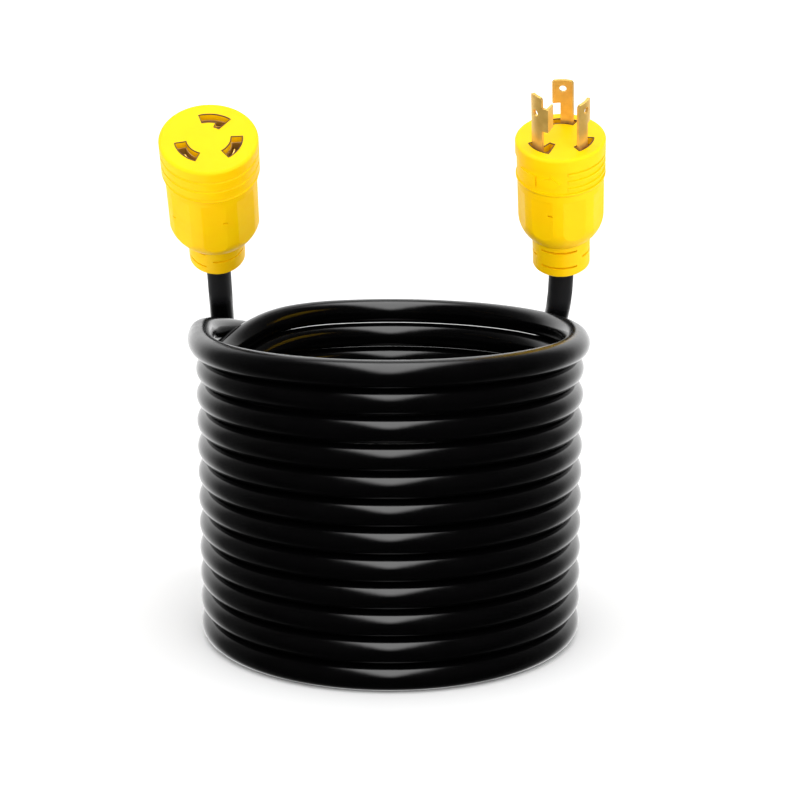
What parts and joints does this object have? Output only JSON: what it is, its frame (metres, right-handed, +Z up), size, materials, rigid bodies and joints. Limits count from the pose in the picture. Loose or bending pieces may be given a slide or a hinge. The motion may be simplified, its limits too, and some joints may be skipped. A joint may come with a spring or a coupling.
{
  "type": "shore power cord",
  "caption": "Coiled three-wire power cord with a yellow locking connector at one end and a matching plug with curved brass blades at the other.",
  "frame": {"origin": "middle of the whole part's footprint, on the surface that the coil stands on", "axes": "+Z up along the coil's axis, -Y towards the viewer's side of the coil, +X towards the end with the plug"},
  "size_m": [0.2843, 0.2829, 0.3529],
  "materials": {
    "cable": "smooth black flexible jacket",
    "end_moulding": "satin yellow moulding",
    "insulator": "dark moulded block",
    "inner_mould": "plain moulded filler",
    "wire_line": "smooth insulation",
    "wire_neutral": "smooth insulation",
    "wire_ground": "smooth insulation",
    "copper": "bare stranded copper",
    "contact_brass": "stamped and tumbled"
  },
  "bodies": {
    "root": {"cable_coil": "cable", "cable_lead_connector": "cable", "cable_lead_plug": "cable", "connector_overmould": "end_moulding", "connector_insulator": "insulator", "connector_inner_mould": "inner_mould", "connector_jacket_end": "cable", "connector_wire_line": "wire_line", "connector_wire_neutral": "wire_neutral", "connector_wire_ground": "wire_ground", "connector_wire_strands": "copper", "plug_overmould": "end_moulding", "plug_insulator": "insulator", "plug_inner_mould": "inner_mould", "plug_jacket_end": "cable", "plug_wire_line": "wire_line", "plug_wire_neutral": "wire_neutral", "plug_wire_ground": "wire_ground", "plug_wire_strands": "copper", "connector_contact_plate": "insulator", "connector_contact_line": "contact_brass", "connector_contact_neutral": "contact_brass", "connector_contact_ground": "contact_brass", "plug_blade_line": "contact_brass", "plug_blade_neutral": "contact_brass", "plug_blade_ground": "contact_brass"}
  },
  "joints": []
}
